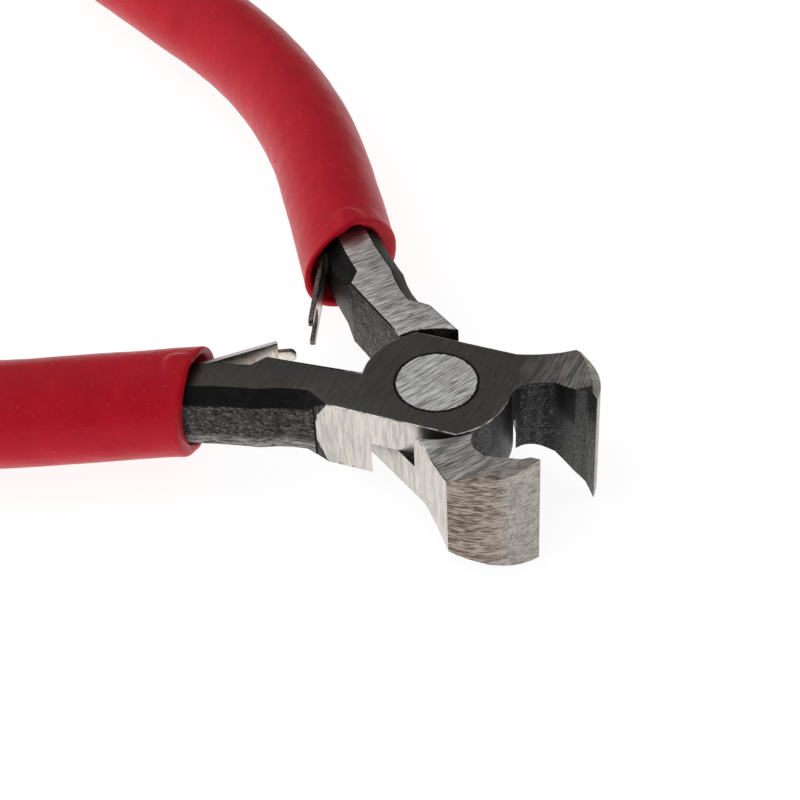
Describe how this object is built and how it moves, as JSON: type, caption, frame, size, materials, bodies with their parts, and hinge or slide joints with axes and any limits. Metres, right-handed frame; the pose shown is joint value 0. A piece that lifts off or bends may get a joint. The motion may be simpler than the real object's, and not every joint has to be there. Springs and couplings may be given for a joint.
{
  "type": "end cutting nippers",
  "caption": "Small end cutting nippers with lapped forged halves on a flush rivet, hollow ground front jaws, leaf return springs and dipped vinyl grips.",
  "frame": {"origin": "pivot axis on the lower end face of the flush rivet, level with the lower joint face", "axes": "+Z along the pivot, away from the lower face; +X along the bisector of the two halves towards the cutting edges"},
  "size_m": [0.1057, 0.0946, 0.014],
  "materials": {
    "lever_steel": "ground and blackened",
    "rivet_steel": "ground",
    "spring_steel": "polished",
    "pin_steel": "plain",
    "grip_vinyl": "satin dipped vinyl"
  },
  "bodies": {
    "upper": {"upper_half": "lever_steel", "pivot_rivet": "rivet_steel", "upper_spring": "spring_steel", "upper_spring_pin": "pin_steel", "upper_grip": "grip_vinyl"},
    "lower": {"lower_half": "lever_steel", "lower_spring": "spring_steel", "lower_spring_pin": "pin_steel", "lower_grip": "grip_vinyl"}
  },
  "joints": [
    {"name": "pivot", "type": "hinge", "parent": "upper", "child": "lower", "pos_m": [0, 0, 0.004], "axis": [0, 0, 1], "range_deg": [-38, 34], "stiffness_Nm_per_rad": 1.2, "deforming": ["upper_spring", "lower_spring"]}
  ]
}
